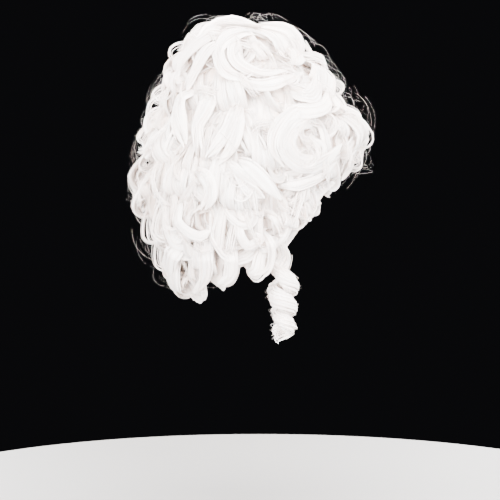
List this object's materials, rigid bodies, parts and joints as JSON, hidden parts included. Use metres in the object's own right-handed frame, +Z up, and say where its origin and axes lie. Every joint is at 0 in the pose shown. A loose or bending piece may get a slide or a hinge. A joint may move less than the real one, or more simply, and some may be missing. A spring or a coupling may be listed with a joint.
{
  "type": "curly wig",
  "caption": "Short curly costume wig on a thin stretch cap: tall rolled crown, rolled bang, layered side and back curls, and a hanging ringlet in front of each ear.",
  "frame": {"origin": "inside of the cap at the crown of the head", "axes": "+Z up along the head, -Y towards the face, -X towards the wearer's right"},
  "size_m": [0.2474, 0.2802, 0.3859],
  "materials": {
    "hair_fibre": "soft sheen",
    "cap_net": "matte"
  },
  "bodies": {
    "root": {"wig_cap": "cap_net", "ringlet_right": "hair_fibre", "ringlet_left": "hair_fibre", "bang_curls": "hair_fibre", "pompadour_curls": "hair_fibre", "crown_curls": "hair_fibre", "side_curls_right": "hair_fibre", "side_curls_left": "hair_fibre", "back_curls_upper": "hair_fibre", "back_curls_lower": "hair_fibre", "nape_curls": "hair_fibre"}
  },
  "joints": []
}
